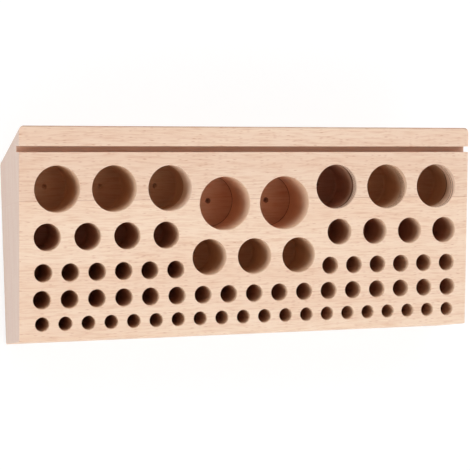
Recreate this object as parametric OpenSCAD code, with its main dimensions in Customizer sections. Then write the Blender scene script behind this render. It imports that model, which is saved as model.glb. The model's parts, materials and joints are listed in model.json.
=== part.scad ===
// Beech tool holder block: a sloping face drilled with 68 blind holes in five rows and a slot for flat tools.
// The blank is two staves glued edge to edge, and the glue line runs through the largest holes.
// The block grows and shrinks with its holes: its length and depth follow from the rows.
// Origin: middle of the underside, +Z up, +X along the rows, -Y toward the user.

/* [Block] */
// Height of the front side
front_h = 32; // [28:0.5:50]
// Lean of the front side back from its foot, in degrees from upright
front_lean = 1.8; // [0:0.1:8]
// Slope of the drilled face toward the user, in degrees
face_slope = 7.7; // [0:0.1:15]
// Lean of the rear side over its foot, in degrees from upright
rear_lean = 16.3; // [0:0.1:22]
// Radius of the sanded arrises
arris_r = 0.7; // [0.3:0.1:3]
// Wood between the front row and the front arris
front_margin = 5.1; // [3:0.1:20]

/* [Glue joint] */
// Width of the rear stave on the drilled face
rear_stave_w = 40; // [25:0.5:70]

/* [Slot] */
// Wood between the rear arris and the slot
slot_land = 11; // [7:0.1:25]
// Width of the slot
slot_w = 3.2; // [1.6:0.1:8]
// Depth of the slot
slot_depth = 6; // [3:0.1:15]

/* [Rear row, in two groups beside the big pair: it sets the block's length] */
// Number of holes in each group
rear_n = 3; // [3:1:6]
// Diameter of the holes
rear_d = 25; // [20:0.5:32]
// Depth of the holes
rear_depth = 28; // [15:0.5:36]
// Wood between neighbouring holes
rear_web = 6.5; // [3:0.1:15]
// Wood between the slot and the row
rear_row_web = 7; // [3:0.1:20]
// Gap along the row to the big pair
rear_gap = 4.3; // [3:0.1:20]
// Wood between the row and each end of the block
rear_end = 8.2; // [4:0.1:20]

/* [Second row, in two groups] */
// Number of holes in each group
second_n = 4; // [1:1:5]
// Diameter of the holes
second_d = 15; // [8:0.5:19]
// Depth of the holes
second_depth = 28; // [12:0.5:36]
// Wood between this row and the rear row
second_row_web = 5.5; // [3:0.1:15]
// Gap along the row to the centre holes
second_gap = 7.5; // [3:0.1:20]
// Wood between the row and each end of the block
second_end = 7.8; // [4:0.1:20]

/* [Third row, in two groups beside the middle three] */
// Number of holes in each group
third_n = 6; // [1:1:7]
// Diameter of the holes
third_d = 10; // [5:0.5:12.5]
// Depth of the holes
third_depth = 28; // [10:0.5:34]
// Wood between this row and the second row
third_row_web = 6.5; // [3:0.1:15]
// Gap along the row to the middle three
third_gap = 4.5; // [3:0.1:18]
// Wood between the row and each end of the block
third_end = 8.1; // [4:0.1:20]

/* [Fourth row, full length] */
// Number of holes
fourth_n = 17; // [6:1:21]
// Diameter of the holes
fourth_d = 10; // [5:0.5:13]
// Depth of the holes
fourth_depth = 28; // [10:0.5:33]
// Wood between this row and the third row
fourth_row_web = 4.3; // [3:0.1:12]
// Wood between the row and each end of the block
fourth_end = 7.4; // [4:0.1:20]

/* [Front row, full length] */
// Number of holes
front_n = 20; // [6:1:25]
// Diameter of the holes
front_d = 8; // [4:0.5:11]
// Depth of the holes
front_depth = 28; // [10:0.5:31]
// Wood between this row and the fourth row
front_row_web = 4; // [3:0.1:12]
// Wood between the row and each end of the block
front_end = 8.5; // [4:0.1:20]

/* [Big pair, in the centre] */
// Diameter of the two holes
pair_d = 30; // [16:0.5:36]
// Depth of the two holes
pair_depth = 28.01; // [15:0.01:34]
// Wood between the two holes
pair_web = 5.4; // [3:0.1:20]
// Wood between the pair and the middle three
pair_row_web = 4.4; // [3:0.1:12]

/* [Middle three, in the centre] */
// Diameter of the three holes
trio_d = 20; // [10:0.5:28]
// Depth of the three holes
trio_depth = 28.01; // [12:0.01:34]
// Wood between neighbouring holes
trio_web = 6.6; // [3:0.1:20]
// Wood between the middle three and the fourth row
trio_row_web = 5.7; // [3:0.1:12]

/* [Hidden] */
$fn = 64;
beech_rear = [0.86, 0.70, 0.54];
beech_front = [0.90, 0.75, 0.60];

// Places down the face, measured from the rear arris: row by row to the front, then back to the centre holes
slot_front = slot_land + slot_w;
rear_u = slot_front + rear_row_web + rear_d / 2;
second_u = rear_u + rear_d / 2 + second_row_web + second_d / 2;
third_u = second_u + second_d / 2 + third_row_web + third_d / 2;
fourth_u = third_u + third_d / 2 + fourth_row_web + fourth_d / 2;
front_u = fourth_u + fourth_d / 2 + front_row_web + front_d / 2;
trio_u = fourth_u - fourth_d / 2 - trio_row_web - trio_d / 2;
pair_u = trio_u - trio_d / 2 - pair_row_web - pair_d / 2;
face_len = front_u + front_d / 2 + front_margin;

// Places along the rows, from the middle of the block: where the centre holes end, and each group begins
pair_reach = pair_d + pair_web / 2;
trio_reach = 1.5 * trio_d + trio_web;
rear_x0 = pair_reach + rear_gap;
second_x0 = trio_reach + second_gap;
third_x0 = trio_reach + third_gap;
half_l = rear_x0 + rear_n * rear_d + (rear_n - 1) * rear_web + rear_end;

// Centres of n holes spread evenly from one place to another
function spread(from, to, n, d) = [for (i = [0 : n - 1]) from + d / 2 + i * (to - from - d) / max(n - 1, 1)];
// Centres of n holes in the middle of the block
function line(n, d, web) = [for (i = [0 : n - 1]) (i - (n - 1) / 2) * (d + web)];
// A group on each side, from its inner end to the wood at the block's end
function groups(x0, end, n, d) = [for (x = spread(x0, half_l - end, n, d)) each [-x, x]];
// A row of holes as [x, u, diameter, depth]
function row(xs, u, d, depth) = [for (x = xs) [x, u, d, depth]];

holes = concat(
    row(groups(rear_x0, rear_end, rear_n, rear_d), rear_u, rear_d, rear_depth),
    row(groups(second_x0, second_end, second_n, second_d), second_u, second_d, second_depth),
    row(groups(third_x0, third_end, third_n, third_d), third_u, third_d, third_depth),
    row(spread(fourth_end - half_l, half_l - fourth_end, fourth_n, fourth_d), fourth_u, fourth_d, fourth_depth),
    row(spread(front_end - half_l, half_l - front_end, front_n, front_d), front_u, front_d, front_depth),
    row(line(2, pair_d, pair_web), pair_u, pair_d, pair_depth),
    row(line(3, trio_d, trio_web), trio_u, trio_d, trio_depth));

// Section of the block, in the Y-Z plane
rear_h = front_h + face_len * sin(face_slope);
face_run = face_len * cos(face_slope);
// The rounded rear arris and front foot stop short of their sharp corners by this much
rear_short = -arris_r * (1 + cos(225 + (face_slope - rear_lean) / 2) / sin((90 - face_slope - rear_lean) / 2));
front_short = arris_r * (tan(front_lean) + 1 / cos(front_lean) - 1);
front_step = front_h * tan(front_lean);
front_y = (rear_short - front_short + front_step - face_run) / 2;
rear_y = front_y + face_run;
foot_y = rear_y - rear_h * tan(rear_lean);
section = [[front_y - front_step, 0], [foot_y, 0], [rear_y, rear_h], [front_y, front_h]];
glue_y = rear_y - rear_stave_w * cos(face_slope);

// Far enough to pass right through the block
past = 2 * half_l;
// Height of a cutter above the face
clear_h = 1;

// Moves to the face: the origin is on the rear arris, -Y runs down the face and -Z into the wood
module on_face() {
    translate([0, rear_y, rear_h]) rotate([face_slope, 0, 0]) children();
}

// The section with its four arrises rounded
module rounded_section() {
    count = len(section);
    function corner(i) = section[(i + count) % count];
    function unit(v) = v / norm(v);
    function ahead(i) = unit(corner(i + 1) - corner(i));
    function behind(i) = unit(corner(i - 1) - corner(i));
    function half_angle(i) = acos(ahead(i) * behind(i)) / 2;
    function set_back(i) = arris_r / tan(half_angle(i));
    polygon([for (i = [0 : count - 1]) each [
        corner(i) + set_back(i) * behind(i),
        corner(i) + set_back(i) * ahead(i)]]);
    for (i = [0 : count - 1])
        translate(corner(i) + unit(ahead(i) + behind(i)) * arris_r / sin(half_angle(i)))
            circle(arris_r);
}

// All the space behind one long side of the section, with the side's two end arrises rounded
module behind_side(from, to) {
    step = to - from;
    translate([0, from[0], from[1]]) rotate([atan2(step[1], step[0]), 0, 0])
        translate([0, past, 0]) rotate([90, 0, 0]) linear_extrude(2 * past) {
            translate([-half_l, arris_r]) square([2 * half_l, past]);
            translate([arris_r - half_l, 0]) square([2 * (half_l - arris_r), past]);
            for (side = [-1, 1])
                translate([side * (half_l - arris_r), arris_r]) circle(arris_r);
        }
}

// The glued blank, sawn to its section and sanded
module blank() {
    intersection() {
        translate([-half_l, 0, 0]) rotate([90, 0, 90]) linear_extrude(2 * half_l) rounded_section();
        for (i = [0 : len(section) - 1])
            behind_side(section[i], section[(i + 1) % len(section)]);
    }
}

// One blind hole, bored square to the face
module bored_hole(d, depth) {
    translate([0, 0, -depth]) cylinder(h = depth + clear_h, d = d);
}

// The slot for flat tools, sawn from end to end
module slot_cut() {
    on_face() translate([-past, -slot_front, -slot_depth]) cube([2 * past, slot_w, slot_depth + clear_h]);
}

module drilled_block() {
    difference() {
        blank();
        slot_cut();
        on_face() for (hole = holes)
            translate([hole[0], -hole[1], 0]) bored_hole(hole[2], hole[3]);
    }
}

module rear_stave() {
    color(beech_rear) intersection() {
        drilled_block();
        translate([-past, glue_y, -past]) cube(2 * past);
    }
}

module front_stave() {
    color(beech_front) intersection() {
        drilled_block();
        translate([-past, glue_y - 2 * past, -past]) cube(2 * past);
    }
}

rear_stave();
front_stave();
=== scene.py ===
import json
import math
import bmesh
import bpy
from mathutils import Matrix, Vector


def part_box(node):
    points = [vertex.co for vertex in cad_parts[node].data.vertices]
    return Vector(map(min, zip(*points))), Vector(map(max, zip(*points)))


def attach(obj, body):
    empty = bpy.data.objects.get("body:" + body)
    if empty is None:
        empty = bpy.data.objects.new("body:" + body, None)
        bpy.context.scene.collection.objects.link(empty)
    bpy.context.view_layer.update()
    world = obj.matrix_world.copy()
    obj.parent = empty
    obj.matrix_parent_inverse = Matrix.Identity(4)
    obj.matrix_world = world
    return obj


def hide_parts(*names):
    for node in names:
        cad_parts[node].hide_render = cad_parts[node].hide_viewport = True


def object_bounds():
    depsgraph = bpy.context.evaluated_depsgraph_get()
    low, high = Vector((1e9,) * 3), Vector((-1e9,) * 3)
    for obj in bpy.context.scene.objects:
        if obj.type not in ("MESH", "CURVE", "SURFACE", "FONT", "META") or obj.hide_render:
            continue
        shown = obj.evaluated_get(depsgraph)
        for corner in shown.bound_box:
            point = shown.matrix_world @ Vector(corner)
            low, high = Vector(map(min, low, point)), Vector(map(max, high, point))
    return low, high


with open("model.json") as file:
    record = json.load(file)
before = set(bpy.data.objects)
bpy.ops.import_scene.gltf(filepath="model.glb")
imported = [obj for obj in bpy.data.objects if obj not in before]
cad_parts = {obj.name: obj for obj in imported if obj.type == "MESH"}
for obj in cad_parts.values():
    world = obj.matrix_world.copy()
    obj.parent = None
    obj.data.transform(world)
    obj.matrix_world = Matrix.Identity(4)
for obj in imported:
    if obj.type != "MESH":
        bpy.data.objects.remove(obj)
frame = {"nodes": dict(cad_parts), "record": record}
cadLow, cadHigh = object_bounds()
mm = 0.001  # sizes below are in millimetres, Blender works in metres
print("frame loaded:", len(frame["nodes"]), "nodes")


def linear(hexColour):
    channels = [int(hexColour[i:i + 2], 16) / 255 for i in (1, 3, 5)]
    return [c / 12.92 if c <= 0.04045 else ((c + 0.055) / 1.055) ** 2.4 for c in channels] + [1.0]


def addNode(tree, kind, sockets, **settings):
    made = tree.nodes.new(kind)
    for key, value in settings.items():
        setattr(made, key, value)
    for key, value in sockets.items():
        if isinstance(value, bpy.types.NodeSocket):
            tree.links.new(value, made.inputs[key])
        else:
            made.inputs[key].default_value = value
    return made


# texture scale at which a pattern has these sizes in millimetres
def perMm(sizes):
    return [1 / (size * mm) for size in sizes]


mixShare, mixBase, mixTop, mixOut = 0, 6, 7, 2  # the colour sockets of a Mix node go by number


# camera: stands left of the block and looks down on the sloping face through a long lens
camera = {
    "place": (-325.77, -46.555, 863.775),
    "aim": (-11.72, -1.945, 39.195),
    "roll": -2.26,  # degrees about the line of sight
    "lens": 122.55,
    "sensor": 36.0,
    "clip": (0.01, 50.0),  # nearest and farthest that it sees, in metres
}


def makeCamera(look):
    place = Vector(look["place"]) * mm
    ahead = (Vector(look["aim"]) * mm - place).normalized()
    right = ahead.cross(Vector((0, 1, 0))).normalized()
    up = right.cross(ahead)
    turned = Matrix((right, up, -ahead)).transposed() @ Matrix.Rotation(math.radians(look["roll"]), 3, "Z")
    data = bpy.data.cameras.new("photoCamera")
    data.lens = look["lens"]
    data.sensor_width = look["sensor"]
    data.clip_start, data.clip_end = look["clip"]
    made = bpy.data.objects.new("photoCamera", data)
    made.matrix_world = Matrix.Translation(place) @ turned.to_4x4()
    bpy.context.scene.collection.objects.link(made)
    bpy.context.scene.camera = made


makeCamera(camera)
print("camera placed")


# the blank: a sloping section with a slot, its arrises rounded by sanding
block = {
    "faceLength": 114.6,
    "rearRow": 33.7,  # from the rear arris down the face to the middle of the rear row
    "frontLean": 1.8,  # degrees from upright
    "rearLean": 16.3,
    "slotLand": 11.0,
    "slotWidth": 3.2,
    "slotDepth": 6.0,
    "arris": 0.7,
    "rearCorner": 2.6,  # the two corners that get knocked most are worn rounder
    "arrisSteps": 4,
    "arrisFrom": 30,  # degrees: an edge that turns more than this is an arris
    "smoothUnder": 35,  # degrees: an edge that turns less than this is shaded smooth
    "slack": 0.01,  # reach past the slot's sides when its faces are picked out
    "weld": 0.0001,  # points this near to the glue plane count as on it
}

bores = [mount for mount in frame["record"]["mounts"] if mount["kind"] == "bore"]
faceNormal = Vector(bores[0]["axis"]).normalized()
downFace = Vector((0, -faceNormal.z, faceNormal.y))  # along the slope, toward the user
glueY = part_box("rear_stave")[0].y


def mouthOf(bore):
    return Vector(bore["pos_m"]) + faceNormal * bore["dims"]["length_mm"] / 2 * mm


rearHole = next(bore for bore in bores if bore["name"].startswith("rear"))
rearTop = mouthOf(rearHole) - downFace * block["rearRow"] * mm
rearTop.x = 0
frontTop = rearTop + downFace * block["faceLength"] * mm
rearFoot = Vector((0, rearTop.y - rearTop.z * math.tan(math.radians(block["rearLean"])), 0))
frontFoot = Vector((0, frontTop.y - frontTop.z * math.tan(math.radians(block["frontLean"])), 0))


def onFace(down, height):
    return rearTop + downFace * down * mm + faceNormal * height * mm


def inSlot(point, size):
    down = (point - rearTop).dot(downFace) / mm - size["slotLand"]
    height = (point - rearTop).dot(faceNormal) / mm
    slack = size["slack"]
    return -slack < down < size["slotWidth"] + slack and -size["slotDepth"] - slack < height < slack


def makeBlank(size):
    slotFront = size["slotLand"] + size["slotWidth"]
    section = [frontFoot, rearFoot, rearTop,
               onFace(size["slotLand"], 0), onFace(size["slotLand"], -size["slotDepth"]),
               onFace(slotFront, -size["slotDepth"]), onFace(slotFront, 0), frontTop]
    solid = bmesh.new()
    left, right = ([solid.verts.new((side * cadHigh.x, p.y, p.z)) for p in section] for side in (-1, 1))
    solid.faces.new(left)
    solid.faces.new(right[::-1])
    for i in range(len(section)):
        j = (i + 1) % len(section)
        solid.faces.new((left[j], left[i], right[i], right[j]))
    bmesh.ops.recalc_face_normals(solid, faces=solid.faces)
    corners = [solid.edges.get((end[1], end[2])) for end in (left, right)]
    bmesh.ops.bevel(solid, geom=corners, offset=size["rearCorner"] * mm, segments=size["arrisSteps"],
                    profile=0.5, affect="EDGES")
    arrises = [e for e in solid.edges if e.calc_face_angle() > math.radians(size["arrisFrom"])
               and not all(inSlot(v.co, size) for v in e.verts)]
    bmesh.ops.bevel(solid, geom=arrises, offset=size["arris"] * mm, segments=size["arrisSteps"],
                    profile=0.5, affect="EDGES")
    return solid


# the holes: bored square to the face, with a softened lip and the marks that the bits leave, and painted
# shade under steps and in the widest holes' floor corners and point pits
hole = {
    "lip": 0.12,
    "lipSteps": 3,
    "segmentsWide": 112,
    "segmentsSlim": 56,
    "wideFrom": 7.0,  # radius from which a hole counts as wide
    "corner": 1.6,  # the floor rounds into the wall
    "pairCorner": 0.25,
    "cornerSteps": 5,
    "faceMatch": 0.9999,  # cosine of the angle to the slope within which a face lies on it
    "pointFrom": 9.0,  # radius from which a bit has a point that marks the floor
    "pointWidth": 3.0,
    "pointDepth": 2.8,
    "pointTip": 0.15,
    "pointRim": 0.1,  # how far the point's mouth is broken
    "floorRing": 0.55,  # share of the radius at which the floor has a ring of points
    "ringWidth": 0.45,
    "stepRise": 0.1,
    "stepShade": 2.5,  # height of the band painted dark below a step: painted shadow under its overhang
    # share of its drill's width that a hole shows in the photo
    "asSeen": {"big_pair": 0.985, "middle_three": 0.99, "rear": 1.0, "second": 0.982, "third": 0.983,
               "fourth": 0.983, "front": 0.96},
    "finish": {"big_pair": "clean", "rear": "bored", "middle_three": "bored"},  # the slimmer holes go dark deep down: painted shade in the narrow bores, and the slimmer bits ran hot
}
# the hot, fresh and scored finishes also carry painted shade in the bores, under steps and in creases, and
# painted light above steps
finishSlots = ["outside", "slot", "bored", "clean", "hot", "fresh", "scored"]
# bit marks: rings by depth below the face and depth of cut, with the slant they were scored at,
# and a step where the bit was set again, with the finish below it; above it the wall is fresher wood, painted
# paler as painted light on the upper wall
ringMarks = {
    "rear_right_1": [(1.7, 0.1), (3.3, 0.1)],
    "rear_right_2": [(3.2, 0.1), (4.6, 0.1), (6.0, 0.1), (7.4, 0.1)],
    "rear_right_3": [(3.0, 0.1), (5.2, 0.1)],
}
ringSlant = {"rear_right_2": 3.0, "rear_right_3": 2.6}
stepMarks = {
    "rear_left_3": (15.0, 0.7, "bored"),
    "rear_right_1": (4.6, 0.1, "hot"),
    "rear_right_3": (10.2, 0.8, "bored"),
}


def holeProfile(bore, size):
    row = next(row for row in size["asSeen"] if bore["name"].startswith(row))
    radius = bore["dims"]["r_mm"] * size["asSeen"][row]
    depth = bore["dims"]["length_mm"]
    lip = size["lip"]
    # holes not listed take the hot finish: painted shade in a slim bore, with scorching
    wood = size["finish"].get(row, "hot")
    # above a step the wall takes the fresh finish: fresher wood, and painted light on the upper wall
    upper = "fresh" if bore["name"] in stepMarks else wood
    points = []  # (radius, height, slant, finish above it), from the face down to the middle of the floor
    for i in range(size["lipSteps"] + 1):
        turn = math.radians(90 * i / size["lipSteps"])
        points.append((radius + lip * (1 - math.sin(turn)), lip * (math.cos(turn) - 1), 0, upper))
    half = size["ringWidth"] / 2
    slant = ringSlant.get(bore["name"], 0)
    for place, cut in ringMarks.get(bore["name"], []):
        points += [(radius, half - place, slant, upper), (radius + cut, -place, slant, "scored"),
                   (radius, -place - half, slant, "scored")]
    wall = radius
    if bore["name"] in stepMarks:
        place, cut, wood = stepMarks[bore["name"]]
        wall = radius + cut
        # the band below the step takes the dark scored finish: painted shadow under the overhang
        points += [(radius, -place, 0, upper), (wall, -place - size["stepRise"], 0, "scored"),
                   (wall, -place - size["stepShade"], 0, "scored")]
    corner = size["pairCorner"] if row == "big_pair" else size["corner"]
    # the widest holes take the dark scored finish in the floor's corner and the point's pit: painted shade in
    # the crease and the pit
    cornerShade = "scored" if row == "big_pair" else wood
    for i in range(size["cornerSteps"] + 1):
        turn = math.radians(90 * i / size["cornerSteps"])
        points.append((wall - corner * (1 - math.cos(turn)), corner * (1 - math.sin(turn)) - depth, 0,
                       cornerShade if i else wood))
    if radius >= size["pointFrom"]:
        point = size["pointWidth"] / 2
        rim = size["pointRim"]
        points += [(size["floorRing"] * radius, -depth, 0, wood), (point + rim, -depth, 0, wood),
                   (point - rim, -depth - rim, 0, cornerShade),
                   (size["pointTip"], -depth - size["pointDepth"], 0, cornerShade)]
    return points


def cutFace(solid, size):
    # the larger of the two flat faces beside the slot takes the holes
    face = max((f for f in solid.faces if f.normal.dot(faceNormal) > size["faceMatch"]),
               key=lambda f: f.calc_area())
    outline = list(face.edges)
    solid.faces.remove(face)
    rings = []
    ringEdges = []
    across = Vector((1, 0, 0))
    for bore in bores:
        wide = bore["dims"]["r_mm"] >= size["wideFrom"]
        count = size["segmentsWide"] if wide else size["segmentsSlim"]
        mouth = mouthOf(bore)
        turns = [2 * math.pi * i / count for i in range(count)]
        ways = [across * math.cos(turn) - downFace * math.sin(turn) for turn in turns]
        rows = []
        finishes = []
        for r, h, slant, finish in holeProfile(bore, size):
            finishes.append(finishSlots.index(finish))
            rows.append([solid.verts.new(mouth + (way * r + faceNormal * (h - slant * math.sin(turn))) * mm)
                         for way, turn in zip(ways, turns)])
        ringEdges += [solid.edges.new((rows[0][i], rows[0][(i + 1) % count])) for i in range(count)]
        rings.append((rows, finishes))
    bmesh.ops.triangle_fill(solid, edges=outline + ringEdges, use_beauty=True, normal=faceNormal)
    for rows, finishes in rings:
        count = len(rows[0])
        for upper, lower, finish in zip(rows, rows[1:], finishes[1:]):
            for i in range(count):
                j = (i + 1) % count
                solid.faces.new((upper[j], upper[i], lower[i], lower[j])).material_index = finish
        solid.faces.new(rows[-1]).material_index = finishes[-1]


def makeStave(name, whole, size, keepRear):
    part = whole.copy()
    cut = bmesh.ops.bisect_plane(part, geom=part.verts[:] + part.edges[:] + part.faces[:],
                                 dist=size["weld"] * mm, plane_co=(0, glueY, 0), plane_no=(0, 1, 0),
                                 clear_inner=keepRear, clear_outer=not keepRear)
    edges = [e for e in cut["geom_cut"] if isinstance(e, bmesh.types.BMEdge)]
    bmesh.ops.holes_fill(part, edges=edges, sides=0)
    bmesh.ops.recalc_face_normals(part, faces=part.faces)
    for f in part.faces:
        f.smooth = True
    for e in part.edges:
        e.smooth = len(e.link_faces) == 2 and e.calc_face_angle() < math.radians(size["smoothUnder"])
    mesh = bpy.data.meshes.new(name)
    part.to_mesh(mesh)
    loose = sum(1 for e in part.edges if len(e.link_faces) != 2)
    volume = part.calc_volume()
    part.free()
    made = bpy.data.objects.new(name, mesh)
    bpy.context.scene.collection.objects.link(made)
    weighted = made.modifiers.new("flatFaces", "WEIGHTED_NORMAL")
    weighted.keep_sharp = True
    print(name, len(mesh.polygons), "faces,", loose, "open edges,", round(volume * 1e6, 1), "cubic cm")
    return made


whole = makeBlank(block)
cutFace(whole, hole)
for f in whole.faces:
    if f.material_index == finishSlots.index("outside") and all(inSlot(v.co, block) for v in f.verts):
        f.material_index = finishSlots.index("slot")
rearStave = makeStave("rearStave", whole, block, True)
frontStave = makeStave("frontStave", whole, block, False)
whole.free()


# beech, planed and sanded bare: pale and pinkish with a dull sheen, in soft bands where the growth layers
# lie nearly flat, with fine wavy fibre and short darker ray flecks along the grain, and greyer on the ends
def beech(name, look):
    made = bpy.data.materials.new(name)
    made.use_nodes = True
    tree = made.node_tree
    tree.nodes.clear()
    place = addNode(tree, "ShaderNodeTexCoord", {})
    spot = place.outputs["Object"]

    # the grain wanders a little, so every pattern is read at a place that wanders with it
    calm = addNode(tree, "ShaderNodeMapping", {"Vector": spot, "Scale": perMm(look["swaySize"])})
    sway = addNode(tree, "ShaderNodeTexNoise", {"Vector": calm.outputs[0], "Scale": 1.0, "Detail": 1.0})
    centred = addNode(tree, "ShaderNodeVectorMath", {0: sway.outputs["Color"], 1: (0.5, 0.5, 0.5)},
                      operation="SUBTRACT")
    wander = [size * mm for size in look["sway"]]
    wood = addNode(tree, "ShaderNodeVectorMath", {0: centred.outputs[0], 1: wander, 2: spot},
                   operation="MULTIPLY_ADD")

    # ends: the fibres are cut across, so the wood is duller there and shows no flecks
    facing = addNode(tree, "ShaderNodeSeparateXYZ", {0: place.outputs["Normal"]})
    across = addNode(tree, "ShaderNodeMath", {0: facing.outputs["X"]}, operation="ABSOLUTE")
    endShare = addNode(tree, "ShaderNodeMapRange", {"Value": across.outputs[0], "From Min": look["endFrom"],
                                                    "From Max": look["endTo"]})
    sideShare = addNode(tree, "ShaderNodeMapRange", {"Value": endShare.outputs[0], "To Min": 1.0,
                                                     "To Max": look["endPattern"]})
    ground = addNode(tree, "ShaderNodeMix", {mixShare: endShare.outputs[0], mixBase: linear(look["pale"]),
                                             mixTop: linear(look["endGrain"])}, data_type="RGBA")
    colour = ground.outputs[mixOut]
    if "deep" in look:
        # painted shade down the bore, with browning by the bit's heat: the wood darkens with depth below the
        # face
        below = addNode(tree, "ShaderNodeVectorMath", {0: spot, 1: -faceNormal}, operation="DOT_PRODUCT")
        level = rearTop.dot(faceNormal)
        deepShadeAndBrowning = addNode(tree, "ShaderNodeMapRange", {"Value": below.outputs["Value"],
                                                       "From Min": look["deepFrom"] * mm - level,
                                                       "From Max": look["deepTo"] * mm - level})
        bored = addNode(tree, "ShaderNodeMix", {mixShare: deepShadeAndBrowning.outputs[0], mixBase: colour,
                                                mixTop: linear(look["deep"])}, data_type="RGBA")
        colour = bored.outputs[mixOut]
    if "soil" in look:
        # painted shade: the rear arris is darkened, standing in for the shade on its back-facing rounding
        along = addNode(tree, "ShaderNodeVectorMath", {0: spot, 1: downFace}, operation="DOT_PRODUCT")
        start = rearTop.dot(downFace)
        rearShadeMask = addNode(tree, "ShaderNodeMapRange", {"Value": along.outputs["Value"],
                                                       "From Min": look["soilFrom"] * mm + start,
                                                       "From Max": look["soilTo"] * mm + start,
                                                       "To Min": look["soilShare"], "To Max": 0.0})
        soiled = addNode(tree, "ShaderNodeMix", {mixShare: rearShadeMask.outputs[0], mixBase: colour,
                                                 mixTop: linear(look["soil"])}, data_type="RGBA",
                         blend_type="MULTIPLY")
        colour = soiled.outputs[mixOut]

    # growth layers, wide bands and fibre: each darkens the wood where its noise is high
    for layer in look["layers"]:
        spread = addNode(tree, "ShaderNodeMapping", {"Vector": wood.outputs[0], "Scale": perMm(layer["size"]),
                                                     "Location": [look["shift"]] * 3})
        cloud = addNode(tree, "ShaderNodeTexNoise", {"Vector": spread.outputs[0], "Scale": 1.0,
                                                     "Detail": layer["detail"]})
        dark = addNode(tree, "ShaderNodeMapRange", {"Value": cloud.outputs["Fac"], "From Min": layer["from"],
                                                    "From Max": layer["to"], "To Max": layer["share"]})
        amount = dark.outputs[0]
        if layer["sidesOnly"]:
            faded = addNode(tree, "ShaderNodeMath", {0: amount, 1: sideShare.outputs[0]},
                            operation="MULTIPLY")
            amount = faded.outputs[0]
        shaded = addNode(tree, "ShaderNodeMix", {mixShare: amount, mixBase: colour,
                                                 mixTop: linear(layer["tint"])}, data_type="RGBA",
                         blend_type="MULTIPLY")
        colour = shaded.outputs[mixOut]
    fibre = cloud.outputs["Fac"]  # the last layer

    # ray flecks: one short dash in each cell of a stretched mosaic, some of them hardly there
    cells = addNode(tree, "ShaderNodeMapping", {"Vector": wood.outputs[0], "Scale": perMm(look["raySize"]),
                                                "Location": [look["shift"]] * 3})
    rays = addNode(tree, "ShaderNodeTexVoronoi", {"Vector": cells.outputs[0], "Scale": 1.0})
    dash = addNode(tree, "ShaderNodeMapRange", {"Value": rays.outputs["Distance"],
                                                "From Min": look["rayCore"], "From Max": look["rayRim"],
                                                "To Min": 1.0, "To Max": 0.0})
    chance = addNode(tree, "ShaderNodeSeparateXYZ", {0: rays.outputs["Color"]})
    some = addNode(tree, "ShaderNodeMapRange", {"Value": chance.outputs["X"], "From Min": look["rayFrom"],
                                                "To Max": look["rayShare"]})
    ray = addNode(tree, "ShaderNodeMath", {0: dash.outputs[0], 1: some.outputs[0]}, operation="MULTIPLY")
    shown = addNode(tree, "ShaderNodeMath", {0: ray.outputs[0], 1: sideShare.outputs[0]},
                    operation="MULTIPLY")
    flecked = addNode(tree, "ShaderNodeMix", {mixShare: shown.outputs[0], mixBase: colour,
                                              mixTop: linear(look["rayTint"])}, data_type="RGBA",
                      blend_type="MULTIPLY")

    # glue line: a dark hairline where the two staves meet, drawn wider than the real film so that it shows
    where = addNode(tree, "ShaderNodeSeparateXYZ", {0: spot})
    fromGlue = addNode(tree, "ShaderNodeMath", {0: where.outputs["Y"], 1: glueY}, operation="SUBTRACT")
    aside = addNode(tree, "ShaderNodeMath", {0: fromGlue.outputs[0]}, operation="ABSOLUTE")
    film = addNode(tree, "ShaderNodeMapRange", {"Value": aside.outputs[0], "From Min": 0.0,
                                                "From Max": look["glueWidth"] * mm,
                                                "To Min": look["glueShare"], "To Max": 0.0})
    onSides = addNode(tree, "ShaderNodeMath", {0: film.outputs[0], 1: sideShare.outputs[0]},
                      operation="MULTIPLY")
    glued = addNode(tree, "ShaderNodeMix", {mixShare: onSides.outputs[0], mixBase: flecked.outputs[mixOut],
                                            mixTop: linear(look["glueTint"])}, data_type="RGBA",
                    blend_type="MULTIPLY")

    # sanding leaves the flecks a hair proud of the softer fibre and a little glossier
    relief = addNode(tree, "ShaderNodeMath", {0: ray.outputs[0], 1: look["rayRelief"], 2: fibre},
                     operation="MULTIPLY_ADD")
    bump = addNode(tree, "ShaderNodeBump", {"Height": relief.outputs[0], "Strength": look["relief"],
                                            "Distance": look["reliefDepth"] * mm})
    dull = addNode(tree, "ShaderNodeMapRange", {"Value": ray.outputs[0], "To Min": look["roughness"],
                                                "To Max": look["roughness"] - look["rayGloss"]})
    shader = addNode(tree, "ShaderNodeBsdfPrincipled", {"Base Color": glued.outputs[mixOut],
                                                        "IOR": look["ior"], "Roughness": dull.outputs[0],
                                                        "Normal": bump.outputs["Normal"]})
    addNode(tree, "ShaderNodeOutputMaterial", {"Surface": shader.outputs["BSDF"]})
    return made


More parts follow.
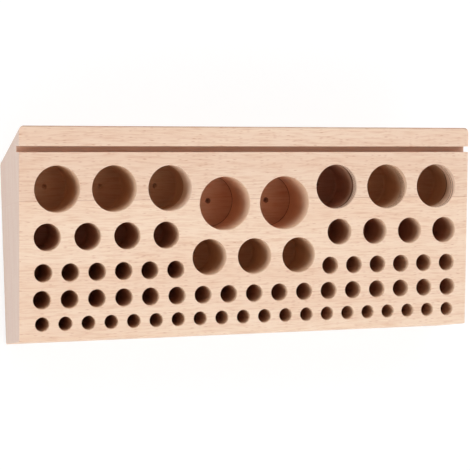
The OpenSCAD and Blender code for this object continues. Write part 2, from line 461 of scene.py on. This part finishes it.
# sizes run along the grain, across it and up through the growth layers
planed = {
    "pale": "#F8DCC3", "endGrain": "#E4CDBF", "endPattern": 0.15,
    "endFrom": 0.5, "endTo": 0.95,  # share of the normal along the grain, from side to end
    "swaySize": (38, 13, 13), "sway": (0, 3.4, 2.0),
    "layers": [
        {"size": (160, 45, 2.4), "detail": 1.0, "from": 0.4, "to": 0.65, "share": 0.22, "tint": "#F0DCD2",
         "sidesOnly": False},
        {"size": (70, 3.2, 3.2), "detail": 2.0, "from": 0.42, "to": 0.7, "share": 0.25, "tint": "#F0DCCF",
         "sidesOnly": True},
        {"size": (10, 0.8, 6), "detail": 1.5, "from": 0.45, "to": 0.72, "share": 0.5, "tint": "#E8D0C2",
         "sidesOnly": True},
    ],
    "raySize": (4.0, 0.8, 7), "rayCore": 0.08, "rayRim": 0.38, "rayFrom": 0.35,  # real rays are half as wide
    "rayShare": 0.75, "rayTint": "#DDBDAE", "rayRelief": 0.6, "rayGloss": 0.1,
    "relief": 0.25, "reliefDepth": 0.05, "roughness": 0.58, "ior": 1.5,
    "glueWidth": 0.35, "glueShare": 0.5, "glueTint": "#C89A82", "shift": 3.0,
}
# the rear stave's look paints shade along its rear arris
rearLook = dict(planed, pale="#F3D6BE", rayShare=0.85, sway=(0, 5.0, 2.5), shift=11.0,
                soil="#B9A79C", soilFrom=0.5, soilTo=1.1, soilShare=0.75)
# bored beech: rubbed by the bit, so it is duller than planed wood, pale at the mouth and brown deep down; the
# brown is painted shade in the bore as well as browning
boredLook = dict(planed, pale="#E8CBB0", endGrain="#E8CBB0", rayShare=0.35, roughness=0.7, glueShare=0.0,
                 deep="#CBA07C", deepFrom=1.0, deepTo=15.0)
# cleanly bored beech: cut by a sharp wide bit, so it stays redder and lighter down to the floor; its painted
# shade deep down is lighter than in the narrower bores
cleanLook = dict(boredLook, deep="#DCAC8C")
# hot-bored beech: scorched by a slim bit, and painted with the shade of the narrow bore, so it goes dark and
# grey-brown soon below the mouth
hotAndShadedLook = dict(boredLook, deep="#B9876C", deepTo=12.0)
# freshly bored beech: torn by a blunt bit and not yet browned, and painted pale as painted light on the wall
# above a step, so it stays pale
freshAndLitLook = dict(boredLook, pale="#EED4BE", endGrain="#EED4BE", deep="#E2C0A2")
# scored beech: burnt black-brown along the line where the bit's spur turned; also painted shade under a step,
# in the floor's corner and in the point's pit
scoredAndShadedLook = dict(boredLook, pale="#6E4C3A", endGrain="#6E4C3A", deep="#9C7159")
# sawn beech: the slot's walls, rough from the saw
slotLook = dict(planed, pale="#E6C3AB", rayShare=0.3, roughness=0.75, glueShare=0.0)

# in the order of finishSlots, after the outside
inside = [
    beech("sawnBeech", slotLook),
    beech("boredBeech", boredLook),
    beech("cleanBoredBeech", cleanLook),
    beech("hotBoredShadedBeech", hotAndShadedLook),
    beech("freshBoredLitBeech", freshAndLitLook),
    beech("scoredShadedBeech", scoredAndShadedLook),
]
staves = [
    (rearStave, beech("planedBeechRear", rearLook), "rear_stave", "rear_beech"),
    (frontStave, beech("planedBeech", planed), "front_stave", "front_beech"),
]
for stave, outside, node, slotName in staves:
    for finish in [outside] + inside:
        stave.data.materials.append(finish)
    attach(stave, "root")
    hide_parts(node)
print("staves finished")


# studio: a pale table that keeps the block's shadow, in a ring of soft light round a dark patch of sky;
# the patch leans to the left, so the light comes low from the left and high from the right
studio = {
    "floor": "#989898", "floorSize": 12000, "floorLift": 0.75,
    "level": 2.0, "darkLean": 24,  # degrees
    "ringFull": 0.62, "ringEnd": 0.8,  # heights toward the dark patch on a sky of radius 1
    "left": 0.45,  # how much more light comes from the left
}


def cameraSees(tree):
    path = addNode(tree, "ShaderNodeLightPath", {})
    seen = addNode(tree, "ShaderNodeMath", {0: path.outputs["Is Camera Ray"],
                                            1: path.outputs["Is Glossy Ray"]}, operation="MAXIMUM")
    through = addNode(tree, "ShaderNodeMath", {0: seen.outputs[0],
                                               1: path.outputs["Is Transmission Ray"]}, operation="MAXIMUM")
    return through.outputs[0]


# matt white board: even and without shine, lifted where the camera sees it,
# so that it stays white round the shadow
def makeFloor(look):
    mesh = bpy.data.meshes.new("paleTable")
    half = look["floorSize"] / 2 * mm
    corners = [(-half, -half, 0), (half, -half, 0), (half, half, 0), (-half, half, 0)]
    mesh.from_pydata(corners, [], [range(len(corners))])
    made = bpy.data.objects.new("paleTable", mesh)
    bpy.context.scene.collection.objects.link(made)
    paint = bpy.data.materials.new("mattWhiteBoard")
    paint.use_nodes = True
    tree = paint.node_tree
    tree.nodes.clear()
    board = addNode(tree, "ShaderNodeBsdfDiffuse", {"Color": linear(look["floor"])})
    lift = addNode(tree, "ShaderNodeMath", {0: cameraSees(tree), 1: look["floorLift"]}, operation="MULTIPLY")
    glow = addNode(tree, "ShaderNodeEmission", {"Strength": lift.outputs[0]})
    both = addNode(tree, "ShaderNodeAddShader", {0: board.outputs[0], 1: glow.outputs[0]})
    addNode(tree, "ShaderNodeOutputMaterial", {"Surface": both.outputs[0]})
    mesh.materials.append(paint)


def makeWorld(look):
    world = bpy.data.worlds.new("studio")
    world.use_nodes = True
    tree = world.node_tree
    tree.nodes.clear()
    aim = addNode(tree, "ShaderNodeTexCoord", {})
    way = addNode(tree, "ShaderNodeSeparateXYZ", {0: aim.outputs["Generated"]})
    lean = math.radians(look["darkLean"])
    darkWay = (-math.sin(lean), 0, math.cos(lean))
    toDark = addNode(tree, "ShaderNodeVectorMath", {0: aim.outputs["Generated"], 1: darkWay},
                     operation="DOT_PRODUCT")
    ring = addNode(tree, "ShaderNodeMapRange", {"Value": toDark.outputs["Value"],
                                                "From Min": look["ringFull"], "From Max": look["ringEnd"],
                                                "To Min": look["level"], "To Max": 0.0},
                   interpolation_type="SMOOTHSTEP")
    side = addNode(tree, "ShaderNodeMath", {0: way.outputs["X"], 1: -look["left"], 2: 1.0},
                   operation="MULTIPLY_ADD")
    light = addNode(tree, "ShaderNodeMath", {0: ring.outputs[0], 1: side.outputs[0]}, operation="MULTIPLY")
    strength = addNode(tree, "ShaderNodeMapRange", {"Value": cameraSees(tree), "To Min": light.outputs[0],
                                                    "To Max": 1.0})
    sky = addNode(tree, "ShaderNodeBackground", {"Color": (1, 1, 1, 1), "Strength": strength.outputs[0]})
    addNode(tree, "ShaderNodeOutputWorld", {"Surface": sky.outputs[0]})
    bpy.context.scene.world = world


makeFloor(studio)
makeWorld(studio)
bpy.context.scene.view_settings.view_transform = "Standard"
print("studio lit")
